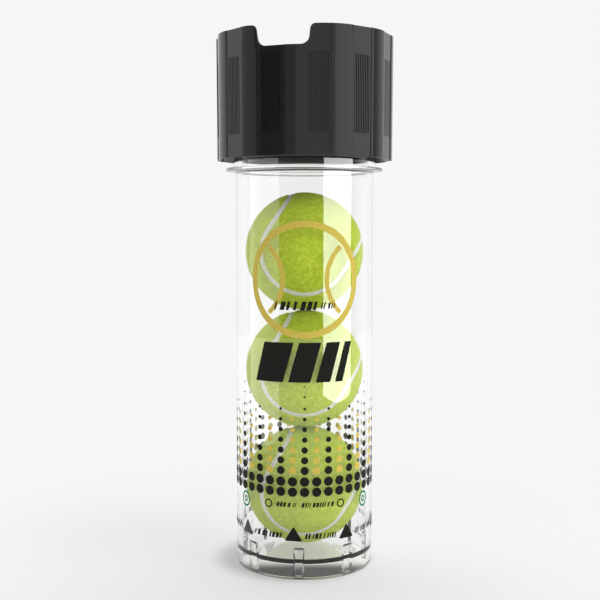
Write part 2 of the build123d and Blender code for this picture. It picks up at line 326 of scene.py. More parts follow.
@dataclass(frozen=True)
class Felt(Finish):
    """Napped wool and nylon cloth, with matted tufts and shadow between the fibres."""

    deep: Colour = (0.29, 0.385, 0.014)
    bright: Colour = (0.68, 0.81, 0.09)
    relief: float = 0.5

    def texture(self, bench: NodeBench, shader: Node) -> None:
        """Add tufts, fibres and the light that the nap catches at its edges."""
        tuft = bench.grain(420.0, 4.0)
        fibre = bench.grain(1500.0, 3.0)
        both = bench.add("ShaderNodeMix", {"Factor": 0.62}, data_type="FLOAT")
        bench.tree.links.new(tuft, both.inputs[2])
        bench.tree.links.new(fibre, both.inputs[3])
        colour = bench.ramp(both.outputs[0], [(0.32, self.deep), (0.5, self.colour), (0.68, self.bright)])
        bench.tree.links.new(colour, shader.inputs["Base Color"])
        soft = bench.bump(tuft, 0.5, self.relief)
        fine = bench.bump(fibre, 0.6, self.relief * 0.4, soft)
        bench.tree.links.new(fine, shader.inputs["Normal"])
        shader.inputs["Sheen Weight"].default_value = 0.35
        shader.inputs["Sheen Roughness"].default_value = 0.5
        shader.inputs["Sheen Tint"].default_value = (*self.bright, 1)


@dataclass(frozen=True)
class Rubber(Finish):
    """Cured rubber with a dusty bloom."""

    def texture(self, bench: NodeBench, shader: Node) -> None:
        """Add the bloom and a fine pitted skin."""
        bloom = bench.grain(420.0, 4.0)
        self.vary(bench, shader, bloom, 0.10)
        pits = bench.bump(bench.grain(2600.0, 2.0), 0.4, 0.06)
        bench.tree.links.new(pits, shader.inputs["Normal"])


@dataclass(frozen=True)
class TurnedMetal(Finish):
    """Metal turned on a lathe, or rolled, with fine marks round the axis."""

    marks: float = 9000.0

    def texture(self, bench: NodeBench, shader: Node) -> None:
        """Add the tool marks and a tarnish that dulls the gloss."""
        shader.inputs["Metallic"].default_value = 1.0
        marks = bench.grain(self.marks, 1.0, (0.04, 0.04, 1))
        tarnish = bench.grain(600.0, 4.0)
        self.vary(bench, shader, tarnish, 0.15)
        gloss = bench.spread(tarnish, self.roughness - 0.06, self.roughness + 0.12)
        bench.tree.links.new(gloss, shader.inputs["Roughness"])
        bench.tree.links.new(bench.bump(marks, 0.25, 0.02), shader.inputs["Normal"])


@dataclass(frozen=True)
class Ink(Finish):
    """Screen-printed ink with pinholes and a slightly uneven film."""

    def texture(self, bench: NodeBench, shader: Node) -> None:
        """Add the film's unevenness."""
        film = bench.grain(900.0, 3.0)
        self.vary(bench, shader, film, 0.08)
        bench.tree.links.new(bench.bump(film, 0.2, 0.02), shader.inputs["Normal"])


CLEAR = ClearPlastic("clear_polycarbonate", Slot.CLEAR, (0.985, 0.992, 0.99), 0.0)
SATIN_BLACK = MouldedPlastic("satin_black_plastic", Slot.BLACK, (0.0135, 0.0135, 0.014), 0.15, skin_depth=0.012)
SOFT_BLACK = MouldedPlastic("soft_black_plastic", Slot.BLACK, (0.014, 0.014, 0.014), 0.55)
WAXY_WHITE = MouldedPlastic("waxy_white_plastic", Slot.WHITE, (0.82, 0.82, 0.79), 0.4)
SEAL_RUBBER = Rubber("black_seal_rubber", Slot.SEAL, (0.018, 0.018, 0.018), 0.6)
CORE_RUBBER = Rubber("grey_core_rubber", Slot.CORE, (0.10, 0.10, 0.10), 0.8)
SEAM_RUBBER = Rubber("pale_seam_rubber", Slot.SEAM, (0.74, 0.76, 0.68), 0.75)
BRASS = TurnedMetal("turned_brass", Slot.BRASS, (0.78, 0.58, 0.26), 0.26)
STEEL = TurnedMetal("bright_steel", Slot.STEEL, (0.62, 0.62, 0.63), 0.28)
BALL_FELT = Felt("yellow_green_felt", Slot.FELT, (0.475, 0.595, 0.028), 0.95, 0.1)
BALL_NAP = Felt("pale_felt_nap", Slot.FELT, (0.54, 0.65, 0.025), 0.95, 0.1, (0.40, 0.50, 0.01), (0.74, 0.85, 0.07))
BLACK_INK = Ink("black_ink", Slot.BLACK, (0.020, 0.020, 0.017), 0.6, 0.12)
GOLD_INK = Ink("gold_ink", Slot.BRASS, (0.94, 0.73, 0.14), 0.6, 0.12)
GREEN_INK = Ink("green_ink", Slot.FELT, (0.02, 0.30, 0.10), 0.6, 0.12)


# --- mesh tools


def as_object(bm: Mesh, name: str) -> bpy.types.Object:
    """Give a mesh an object in the scene.

    Args:
        bm: The mesh. It is freed.
        name: The name of both.

    Returns:
        The object.
    """
    mesh = bpy.data.meshes.new(name)
    bm.to_mesh(mesh)
    bm.free()
    made = bpy.data.objects.new(name, mesh)
    bpy.context.scene.collection.objects.link(made)
    return made


def soften(bm: Mesh, crease: float) -> None:
    """Shade every face smooth, and keep edges that turn by more than crease sharp.

    Args:
        bm: The mesh.
        crease: The angle in degrees past which an edge stays sharp.
    """
    limit = math.radians(crease)
    for face in bm.faces:
        face.smooth = True
    for edge in bm.edges:
        edge.smooth = edge.calc_face_angle(0.0) < limit


def piece(
    bm: Mesh, name: str, body: Body, finish: Finish, stands_for: Iterable[str] = (), crease: float = 32.0
) -> bpy.types.Object:
    """Finish a mesh as a piece that rides on a body.

    Args:
        bm: The mesh in place, in metres. It is freed.
        name: The piece's name.
        body: The body that it moves with.
        finish: What it is made of.
        stands_for: The CAD nodes that it replaces.
        crease: The angle in degrees past which an edge stays sharp.

    Returns:
        The new object.
    """
    soften(bm, crease)
    made = as_object(bm, name)
    made.data.materials.append(finish.material())
    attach(made, body.value)
    nodes = list(stands_for)
    if nodes:
        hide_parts(*nodes)
    LOG.info("%s: %d faces on %s", name, len(made.data.polygons), body.value)
    return made


def dress(frame: dict, finish: Finish, nodes: Iterable[str]) -> None:
    """Give CAD nodes that stay in view a finish.

    Args:
        finish: The finish.
        nodes: The nodes' names.
    """
    for name in nodes:
        node = frame["nodes"][name]
        node.data.materials.clear()
        node.data.materials.append(finish.material())
        LOG.info("%s keeps its CAD shape", name)


def chain(bm: Mesh, points: Iterable[Point2], close: bool = False) -> list[bmesh.types.BMEdge]:
    """Draw a profile in the x-z plane.

    Args:
        bm: The mesh to draw in.
        points: Radius and height of each point, in millimetres.
        close: Whether the last point joins the first.

    Returns:
        The profile's edges.
    """
    verts = [bm.verts.new((r * MM, 0, z * MM)) for r, z in points]
    edges = [bm.edges.new(pair) for pair in zip(verts, verts[1:])]
    if close:
        edges.append(bm.edges.new((verts[-1], verts[0])))
    return edges


def weld(bm: Mesh, gap: float = 0.001) -> None:
    """Merge points closer than gap millimetres, drop what collapses and turn all faces out."""
    bmesh.ops.remove_doubles(bm, verts=bm.verts, dist=gap * MM)
    bmesh.ops.dissolve_degenerate(bm, dist=gap * MM * 0.5, edges=bm.edges)
    bmesh.ops.recalc_face_normals(bm, faces=bm.faces)


def turned(points: Sequence[Point2], steps: int, close: bool = True) -> Mesh:
    """Turn a profile right round the can's axis.

    Args:
        points: Radius and height of each point, in millimetres.
        steps: How many facets go round.
        close: Whether the profile is a closed loop.

    Returns:
        The closed shape.
    """
    bm = bmesh.new()
    edges = chain(bm, points, close)
    bmesh.ops.spin(
        bm, geom=[*bm.verts, *edges], cent=(0, 0, 0), axis=AXIS_UP, angle=math.tau, steps=steps, use_merge=True
    )
    weld(bm)
    return bm


def rounded(points: Sequence[tuple[float, ...]], steps: int = 4) -> list[Point2]:
    """Round the corners of a closed profile, with a guard point on each long side next to a corner.

    The guard points keep the smoothed normals of the corner off the straight sides.

    Args:
        points: Radius, height and, where the corner is rounded, the rounding's radius.
        steps: How many chords make each rounding.

    Returns:
        The profile's points, in the same order.
    """
    made: list[Point2] = []
    for index, (x, y, *size) in enumerate(points):
        here = Vector((x, y))
        if not size:
            made.append((x, y))
            continue
        last, following = points[index - 1], points[(index + 1) % len(points)]
        before = (Vector(last[:2]) - here).normalized()
        after = (Vector(following[:2]) - here).normalized()
        half = before.angle(after) / 2
        centre = here + (before + after).normalized() * (size[0] / math.sin(half))
        start = here + before * (size[0] / math.tan(half)) - centre
        end = here + after * (size[0] / math.tan(half)) - centre
        sweep = start.angle_signed(end)
        guards = []
        for other, side, foot in ((last, before, start), (following, after, end)):
            room = (Vector(other[:2]) - here).length - (centre + foot - here).length - sum(other[2:])
            guards.append([tuple(centre + foot + side * min(0.4 * size[0], 0.3))] if room > size[0] else [])
        made += guards[0]
        for step in range(steps + 1):
            turn = Matrix.Rotation(-sweep * step / steps, 2)
            made.append(tuple(centre + turn @ start))
        made += guards[1]
    return made


def boxed(inner: float, outer: float, low: float, high: float, corner: float, steps: int = 4) -> list[Point2]:
    """Draw a ring's oblong section with rounded corners, all in millimetres."""
    return rounded([(inner, low, corner), (outer, low, corner), (outer, high, corner), (inner, high, corner)], steps)


def screw_thread(root: float, crest: float, z: float, half_widths: Sequence[float], turns: float, steps: int) -> Mesh:
    """Make the closed ridges of a three-start screw thread.

    Args:
        root: Radius of the wall that the ridges stand on, in millimetres.
        crest: Radius of their crest, outside or inside the wall.
        z: Height of the ridges' middle at their lower end.
        half_widths: Half the ridges' width at the root, at the shoulder and across the crest.
        turns: The length of each ridge.
        steps: How many facets make one turn.

    Returns:
        The ridges, each a little sunk into the wall.
    """
    foot, shoulder, flat = half_widths
    out = math.copysign(1.0, crest - root)
    half = [(root - 0.4 * out, foot), (root, foot), (crest - 0.15 * out, shoulder), (crest, flat)]
    section = [(r, z - up) for r, up in half] + [(r, z + up) for r, up in reversed(half)]
    count = max(2, round(steps * turns))
    bm = bmesh.new()
    for start in range(THREAD_STARTS):
        turn = Matrix.Rotation(math.tau / THREAD_STARTS * start, 3, "Z")
        first = [bm.verts.new(turn @ Vector((r, 0, up)) * MM) for r, up in section]
        face = bm.faces.new(first)
        bmesh.ops.spin(
            bm,
            geom=[face, *face.edges, *first],
            cent=(0, 0, 0),
            axis=AXIS_UP,
            dvec=(0, 0, THREAD_LEAD * turns * MM / count),
            angle=math.tau * turns,
            steps=count,
        )
    bmesh.ops.recalc_face_normals(bm, faces=bm.faces)
    return bm


class Join(Enum):
    """How solid shapes are put together."""

    UNITE = "UNION"
    CUT = "DIFFERENCE"
    SHARE = "INTERSECT"


def joined(base: Mesh, others: Sequence[Mesh], how: Join = Join.UNITE) -> Mesh:
    """Unite solid shapes with a base, cut them out of it, or keep what they share with it.

    Args:
        base: The shape that is kept. It is freed.
        others: The other shapes. They are freed.
        how: How they are put together.

    Returns:
        The resulting shape.
    """
    scratch = [as_object(source, "scratch") for source in (base, *others)]
    body, *tools = scratch
    for tool in tools:
        modifier = body.modifiers.new("join", "BOOLEAN")
        modifier.operation = how.value
        modifier.solver = "EXACT"
        modifier.object = tool
    result = bmesh.new()
    result.from_object(body, bpy.context.evaluated_depsgraph_get())
    for item in scratch:
        mesh = item.data
        bpy.data.objects.remove(item)
        bpy.data.meshes.remove(mesh)
    return result


# --- clear tube


@dataclass
class ClearTube:
    """The clear moulding: foot, floor, corner ribs, wall, flange and threaded neck."""

    radius: float = 38.9
    bore: float = 35.9
    floor_top: float = 10.15
    floor_under: float = 8.0
    flange_radius: float = 44.2
    flange_under: float = 222.6
    flange_top: float = 224.2
    neck_radius: float = 40.0
    neck_top: float = 250.0
    thread_crest: float = 41.5
    thread_from: float = 231.5
    rib_count: int = 8
    rib_turn: float = -5.0
    rib_depth: float = 2.5
    facets: int = 240

    def wall(self) -> Mesh:
        """Turn the wall, floor, flange and neck as one closed shape."""
        profile = rounded(
            [
                (self.bore + 0.6, 0.0, 0.3), (self.radius, 0.0, 1.0), (self.radius, self.flange_under - 0.6, 0.6),
                (self.flange_radius, self.flange_under, 0.3), (self.flange_radius, self.flange_top, 0.3),
                (self.neck_radius, self.flange_top, 0.5), (self.neck_radius, self.neck_top, 0.6),
                (self.bore, self.neck_top, 0.6), (self.bore, self.floor_top, 0.45), (0.0, self.floor_top),
                (0.0, self.floor_under), (self.bore, self.floor_under, 0.4), (self.bore, 0.6, 0.3)
            ]
        )
        return turned(profile, self.facets)

    def rib(self) -> Mesh:
        """Make one bevelled rib at the front, a little wider and taller at the wall."""
        bm = bmesh.new()
        for vert in bmesh.ops.create_cube(bm, size=1.0)["verts"]:
            at_wall = vert.co.y < 0
            width, top = (6.6, 17.7) if at_wall else (4.1, 15.5)
            depth = self.bore + 1.2 if at_wall else self.bore - self.rib_depth
            height = top if vert.co.z > 0 else 0.7
            vert.co = Vector((math.copysign(width / 2, vert.co.x), -depth, height)) * MM
        bmesh.ops.bevel(bm, geom=bm.edges[:], offset=0.5 * MM, segments=3, profile=0.5, affect="EDGES", material=-1)
        bmesh.ops.recalc_face_normals(bm, faces=bm.faces)
        return bm

    def ribs(self) -> Mesh:
        """Set the ribs round the corner of the floor, from the foot up."""
        mesh = bpy.data.meshes.new("scratch")
        one = self.rib()
        one.to_mesh(mesh)
        one.free()
        bm = bmesh.new()
        for index in range(self.rib_count):
            turn = math.radians(self.rib_turn + 360 / self.rib_count * index)
            before = len(bm.verts)
            bm.from_mesh(mesh)
            bmesh.ops.rotate(bm, verts=bm.verts[before:], cent=(0, 0, 0), matrix=Matrix.Rotation(turn, 3, "Z"))
        bpy.data.meshes.remove(mesh)
        return bm

    def build(self) -> None:
        """Unite the wall with its ribs and thread, as the one moulding that it is."""
        widths = (1.1, 0.55, 0.35)
        thread = screw_thread(self.neck_radius, self.thread_crest, self.thread_from, widths, 1.1, self.facets // 2)
        whole = joined(self.wall(), [self.ribs(), thread])
        weld(whole)
        piece(whole, "clear_tube", Body.CAN, CLEAR, ["tube"], crease=28)


# --- printing


@dataclass
class TubePrint:
    """What is screen-printed round the outside of the tube, drawn flat and then rolled on."""

    radius: float = 38.9
    film: float = 0.05
    clear_of_wall: float = 0.015
    columns: int = 37
    big_rows: tuple[float, ...] = (48.3, 54.0)
    row_from: float = 60.1
    row_step: float = 5.63
    rows: int = 7

    def roll(self, bm: Mesh) -> None:
        """Give a flat drawing its film thickness and roll it on to the tube.

        Args:
            bm: The drawing: x along the girth from the front, y up, both in metres.
        """
        raised = bmesh.ops.extrude_face_region(bm, geom=bm.faces[:])["geom"]
        lifted = [v for v in raised if isinstance(v, Vert)]
        bmesh.ops.translate(bm, verts=lifted, vec=(0, 0, self.film * MM))
        for vert in bm.verts:
            girth, height, off = vert.co
            angle = girth / (self.radius * MM)
            reach = (self.radius + self.clear_of_wall) * MM + off
            vert.co = Vector((reach * math.sin(angle), -reach * math.cos(angle), height))
        bmesh.ops.recalc_face_normals(bm, faces=bm.faces)

    def slice_across(self, bm: Mesh, reach: float, step: float = 1.5) -> None:
        """Cut a flat drawing into upright strips, so that it bends when it is rolled on.

        Args:
            bm: The drawing.
            reach: How far it goes each side of the front, in millimetres.
            step: The strips' width in millimetres.
        """
        for cut in range(-math.ceil(reach / step), math.ceil(reach / step) + 1):
            whole = [*bm.verts, *bm.edges, *bm.faces]
            bmesh.ops.bisect_plane(bm, geom=whole, plane_co=(cut * step * MM, 0, 0), plane_no=(1, 0, 0))

    def disc(self, bm: Mesh, angle: float, z: float, size: float, segments: int = 16) -> None:
        """Draw a dot.

        Args:
            bm: The drawing.
            angle: Degrees from the front, towards +X.
            z: Height in millimetres.
            size: Diameter in millimetres.
            segments: Sides of the dot.
        """
        place = Vector((math.radians(angle) * self.radius, z, 0)) * MM
        bmesh.ops.create_circle(
            bm, cap_ends=True, cap_tris=True, segments=segments, radius=size / 2 * MM,
            matrix=Matrix.Translation(place)
        )

    def arc_band(
        self, bm: Mesh, centre: Point2, radius: float, width: float, from_angle: float,
        to_angle: float, squeeze: float = 1.0
    ) -> None:
        """Draw a stroke along a circle.

        Args:
            bm: The drawing.
            centre: Girth and height of the circle's middle, in millimetres.
            radius: Radius of the stroke's middle line.
            width: Width of the stroke.
            from_angle: Where it starts, in degrees from +x.
            to_angle: Where it ends.
            squeeze: Scale of the whole along the girth.
        """
        pair = [bm.verts.new(((radius + side * width / 2) * MM, 0, 0)) for side in (-1, 1)]
        edge = bm.edges.new(pair)
        spread = to_angle - from_angle
        steps = max(6, round(abs(spread) / 5))
        before = set(bm.verts) - set(pair)
        bmesh.ops.spin(
            bm, geom=[edge, *pair], cent=(0, 0, 0), axis=AXIS_UP, angle=math.radians(spread), steps=steps,
            use_merge=abs(spread) >= 360
        )
        made = [v for v in bm.verts if v not in before]
        place = (
            Matrix.Translation(Vector((*centre, 0)) * MM)
            @ Matrix.Diagonal((squeeze, 1, 1, 1))
            @ Matrix.Rotation(math.radians(from_angle), 4, "Z")
        )
        bmesh.ops.transform(bm, matrix=place, verts=made)

    def bar(self, bm: Mesh, centre: Point2, size: Point2, lean: float = 0.0) -> None:
        """Draw an upright or slanted bar.

        Args:
            bm: The drawing.
            centre: Girth and height of its middle, in millimetres.
            size: Its width and height.
            lean: How far its top leans over, in millimetres for each millimetre of height.
        """
        made = bmesh.ops.create_grid(bm, x_segments=1, y_segments=1, size=0.5)["verts"]
        for vert in made:
            x, y = vert.co.x * size[0], vert.co.y * size[1]
            vert.co = Vector((centre[0] + x + y * lean, centre[1] + y, 0)) * MM

    def triangle(self, bm: Mesh, angle: float, foot: float, width: float, height: float) -> None:
        """Draw a triangle with rounded corners.

        Args:
            bm: The drawing.
            angle: Degrees of its middle from the front.
            foot: Height of its base in millimetres.
            width: Its width at the base.
            height: Its height.
        """
        girth = math.radians(angle) * self.radius
        corners = [(girth - width / 2, foot, 0.5), (girth + width / 2, foot, 0.5), (girth, foot + height, 0.5)]
        verts = [bm.verts.new((x * MM, y * MM, 0)) for x, y in rounded(corners)]
        bm.faces.new(verts)

    def dots(self) -> None:
        """Print the field of dots that shrink with height, black columns between gold ones."""
        black, gold = bmesh.new(), bmesh.new()
        pitch = 360 / self.columns
        for column in range(self.columns):
            angle = (column - self.columns // 2) * pitch
            even = (column - self.columns // 2) % 2 == 0
            for z in self.big_rows:
                self.disc(black, angle, z, 5.2)
            for row in range(self.rows):
                share = row / (self.rows - 1)
                z = self.row_from + self.row_step * row
                if even:
                    self.disc(black, angle, z, 4.5 - 3.0 * share, 14)
                elif row < self.rows - 1:
                    self.disc(gold, angle, z, 4.3 - 2.7 * share, 14)
            if (column - self.columns // 2) % 6 == 0 and even:
                self.disc(black, angle, self.row_from + self.row_step * self.rows + 0.9, 1.2, 10)
                self.disc(black, angle, self.row_from + self.row_step * (self.rows + 1) + 0.9, 0.9, 8)
        for bm, name, ink in ((black, "print_black_dots", BLACK_INK), (gold, "print_gold_dots", GOLD_INK)):
            self.roll(bm)
            piece(bm, name, Body.CAN, ink)

    def ball_sign(self) -> None:
        """Print a plain gold pictogram of a ball: an outline and its two seam curves."""
        bm = bmesh.new()
        middle = (0.0, 163.5)
        self.arc_band(bm, middle, 29.8, 3.6, 0, 360)
        for side in (-1, 1):
            seam = (side * 35.6, middle[1])
            away = 180 if side > 0 else 0
            self.arc_band(bm, seam, 23.6, 2.6, away - 49, away + 49)
        self.slice_across(bm, 36)
        weld(bm)
        self.roll(bm)
        piece(bm, "print_gold_sign", Body.CAN, GOLD_INK)

    def hatching(self, bm: Mesh, start: float, end: float, middle: float, height: float, seed: int) -> None:
        """Draw a row of slanted strokes of uneven width and spacing.

        Args:
            bm: The drawing.
            start: Girth where the row starts, in millimetres.
            end: Girth where it ends.
            middle: Height of the row's middle.
            height: Height of the strokes.
            seed: A number that fixes the row's unevenness.
        """
        chance = random.Random(seed)
        here = start
        while True:
            width = height * chance.choice((0.22, 0.34, 0.55))
            if here + width > end:
                return
            self.bar(bm, (here + width / 2, middle), (width, height), 0.25)
            here += width + height * chance.choice((0.2, 0.2, 0.5))

    def bars(self) -> None:
        """Print bold slanted bars below the sign, and a row of smaller strokes inside it."""
        bm = bmesh.new()
        left = -26.0
        for width in (17.0, 12.0, 8.0, 4.5):
            self.bar(bm, (left + width / 2, 119.0), (width, 21.5), 0.28)
            left += width + 3.0
        self.hatching(bm, -16.5, 7.5, 149.6, 4.6, 3)
        self.hatching(bm, 9.0, 17.0, 149.6, 3.4, 4)
        self.slice_across(bm, 34)
        self.roll(bm)
        piece(bm, "print_black_bars", Body.CAN, BLACK_INK)

    def small_marks(self) -> None:
        """Print the two small rows near the foot: strokes and rings, and triangles and strokes."""
        black, green = bmesh.new(), bmesh.new()
        for half in (0, 180):
            base = math.radians(half) * self.radius
            self.hatching(black, base - 15.5, base - 3.5, 41.2, 2.5, 5)
            self.hatching(black, base - 1.5, base + 16.5, 41.2, 2.5, 6)
            for side in (-1, 1):
                place = (base + side * 20.6, 41.2)
                self.arc_band(black, place, 2.0, 0.8, 0, 360)
                place = (base + side * 38.5, 40.5)
                self.arc_band(green, place, 3.9, 1.1, 0, 360, 0.86)
                self.arc_band(green, place, 1.4, 1.0, 0, 360, 0.8)
        for index in range(8):
            angle = -9.0 + 45 * index
            self.triangle(black, angle, 21.2, 10.0, 8.2)
            girth = math.radians(angle) * self.radius
            self.hatching(black, girth + 6.6, girth + 24.6, 24.0, 3.0, 7 + index)
        for bm, name, ink in ((black, "print_black_marks", BLACK_INK), (green, "print_green_rings", GREEN_INK)):
            weld(bm)
            self.slice_across(bm, self.radius * math.pi, 2.4)
            self.roll(bm)
            piece(bm, name, Body.CAN, ink)

    def build(self) -> None:
        """Print everything."""
        self.dots()
        self.ball_sign()
        self.bars()
        self.small_marks()


# --- lid


@dataclass
class ScrewLid:
    """The tall black lid: lobes and ribbed grip panels outside, cup above, threaded collar below."""

    bottom: float = 228.8
    top: float = 296.8
    lobe_radius: float = 49.6
    lobe_edge_radius: float = 49.25
    panel_radius: float = 48.8
    panels: int = 12
    panel_turn: float = 8.5
    panel_half: float = 7.5
    pocket_half_width: float = 5.0
    pocket_from: float = 241.4
    pocket_to: float = 282.0
    pocket_depth: float = 0.5
    grip_ribs: int = 8
    lobe_points: int = 16
    draft: float = 0.15
    cup_radius: float = 46.0
    deck_top: float = 259.0
    deck_under: float = 255.9
    collar_bore: float = 42.0
    deck_hole: float = 12.1
    notch_turn: float = -13.8
    notch_floor: float = 285.6
    notch_half: float = 14.2

    def section(self) -> list[tuple[float, float, float]]:
        """Work out the outline for one panel and the lobe after it.

        Returns:
            For each point its angle in degrees from the panel's middle, its radius where the panel
            is plain, and its radius where the panel has its ribbed pocket.
        """
        half = self.panel_half
        flat = self.panel_radius * math.cos(math.radians(half))
        rows: list[tuple[float, float, float]] = []

        def on_panel(across: float, sunk: float) -> None:
            angle = math.degrees(math.atan2(across, flat))
            rows.append((angle, math.hypot(across, flat), math.hypot(across, flat - sunk)))

        rows.append((-half, self.panel_radius, self.panel_radius))
        on_panel(-self.pocket_half_width - 0.15, 0.0)
        on_panel(-self.pocket_half_width, self.pocket_depth)
        pitch = 2 * self.pocket_half_width / self.grip_ribs
        for rib in range(self.grip_ribs):
            left = -self.pocket_half_width + rib * pitch
            for share, sunk in ((0.12, 1.0), (0.22, 0.08), (0.78, 0.08), (0.88, 1.0)):
                on_panel(left + share * pitch, sunk * self.pocket_depth)
        on_panel(self.pocket_half_width, self.pocket_depth)
        on_panel(self.pocket_half_width + 0.15, 0.0)
        rows.append((half, self.panel_radius, self.panel_radius))
        rise = self.lobe_radius - self.lobe_edge_radius
        for index in range(self.lobe_points):
            share = index / (self.lobe_points - 1) * 2 - 1
            angle = 2 * half + share * (half - 0.12)
            radius = self.lobe_radius - rise * share * share
            if abs(share) == 1:
                radius -= 0.12
            rows.append((angle, radius, radius))
        return rows

    def skin(self) -> Mesh:
        """Raise the whole lid from one ring of points, level by level, and close it."""
        outline = self.section()
        pitch = 360 / self.panels
        spots = [
            (math.radians(self.panel_turn + pitch * panel + angle - 90), plain, sunk)
            for panel in range(self.panels)
            for angle, plain, sunk in outline
        ]
        bm = bmesh.new()
        ring = bmesh.ops.create_circle(bm, segments=len(spots), radius=1.0)["verts"]
        first = ring

        def outer(z: float, inset: float = 0.0, pocket: bool = False) -> Callable[[int], Vector]:
            lift = self.draft * (2 * (z - self.bottom) / (self.top - self.bottom) - 1)

            def place(index: int) -> Vector:
                angle, plain, sunk = spots[index]
                reach = (sunk if pocket else plain) + lift - inset
                return Vector((reach * math.cos(angle), reach * math.sin(angle), z)) * MM

            return place

        def inner(radius: float, z: float) -> Callable[[int], Vector]:
            def place(index: int) -> Vector:
                angle = spots[index][0]
                return Vector((radius * math.cos(angle), radius * math.sin(angle), z)) * MM

            return place

        levels = [
            outer(self.bottom, 0.3), outer(self.bottom + 0.08, 0.08), outer(self.bottom + 0.3),
            outer(self.bottom + 0.7), outer(self.pocket_from - 0.6), outer(self.pocket_from - 0.2),
            outer(self.pocket_from, pocket=True), outer(self.pocket_to, pocket=True), outer(self.pocket_to + 0.2),
            outer(self.pocket_to + 0.6), outer(self.top - 1.0), outer(self.top - 0.5), outer(self.top - 0.15, 0.12),
            outer(self.top, 0.5)
        ]
        inside = rounded(
            [
                (self.cup_radius, self.top, 0.5), (self.cup_radius, self.deck_top, 1.6),
                (self.deck_hole, self.deck_top, 0.4), (self.deck_hole, self.deck_under, 0.2),
                (self.collar_bore, self.deck_under, 0.5), (self.collar_bore, self.bottom, 0.5)
            ]
        )
        levels += [inner(radius, z) for radius, z in inside]
        for index, vert in enumerate(ring):
            vert.co = levels[0](index)
        for level in levels[1:]:
            edges = [bm.edges.get((vert, ring[index - 1])) for index, vert in enumerate(ring)]
            made = bmesh.ops.extrude_edge_only(bm, edges=edges)["geom"]
            fresh = {item for item in made if isinstance(item, Vert)}
            ring = [next(e.other_vert(v) for e in v.link_edges if e.other_vert(v) in fresh) for v in ring]
            for index, vert in enumerate(ring):
                vert.co = level(index)
        rims = [bm.edges.get((vert, loop[index - 1])) for loop in (first, ring) for index, vert in enumerate(loop)]
        bmesh.ops.bridge_loops(bm, edges=rims)
        bmesh.ops.recalc_face_normals(bm, faces=bm.faces)
        return bm

    def notch_cutter(self) -> Mesh:
        """Make the bar that cuts the two opposite notches, with a rounded floor and lips."""
        half, top, over = self.notch_half, self.top, self.top + 4
        outline = rounded(
            [
                (-half + 0.9, self.notch_floor, 4.4), (half - 0.9, self.notch_floor, 4.4),
                (half + 0.3, top - 0.4, 3.0), (half + 5.5, top - 0.15), (half + 5.5, over), (-half - 5.5, over),
                (-half - 5.5, top - 0.15), (-half - 0.3, top - 0.4, 3.0)
            ],
            steps=8
        )
        bm = bmesh.new()
        reach = self.lobe_radius + 8
        verts = [bm.verts.new(Vector((x, -reach, z)) * MM) for x, z in outline]
        face = bm.faces.new(verts)
        made = bmesh.ops.extrude_face_region(bm, geom=[face])["geom"]
        far = [v for v in made if isinstance(v, Vert)]
        bmesh.ops.translate(bm, verts=far, vec=(0, 2 * reach * MM, 0))
        turn = Matrix.Rotation(math.radians(self.notch_turn), 3, "Z")
        bmesh.ops.rotate(bm, verts=bm.verts, cent=(0, 0, 0), matrix=turn)
        bmesh.ops.recalc_face_normals(bm, faces=bm.faces)
        return bm

    def soften_notch(self, bm: Mesh) -> None:
        """Break the fresh edges that the notches have left.

        Args:
            bm: The cut lid.
        """
        low, near = (self.notch_floor - 0.5) * MM, self.cup_radius * 0.9 * MM
        edges = [
            edge
            for edge in bm.edges
            if all(v.co.z > low and v.co.xy.length > near for v in edge.verts)
            and math.radians(55) < edge.calc_face_angle(0.0) < math.radians(125)
            and abs(edge.verts[0].co.xy.length - edge.verts[1].co.xy.length) < 0.6 * MM
        ]
        bmesh.ops.bevel(bm, geom=edges, offset=0.2 * MM, segments=2, profile=0.5, affect="EDGES", material=-1)

    def build(self) -> None:
        """Cut the notches and add the thread."""
        whole = joined(self.skin(), [self.notch_cutter()], Join.CUT)
        weld(whole)
        self.soften_notch(whole)
        piece(whole, "screw_lid", Body.LID, SATIN_BLACK, ["crown"], crease=24)
        thread = screw_thread(self.collar_bore, self.collar_bore - 1.5, 233.5, (0.95, 0.5, 0.3), 0.9, 120)
        piece(thread, "lid_thread", Body.LID, SATIN_BLACK, crease=40)


# --- plug


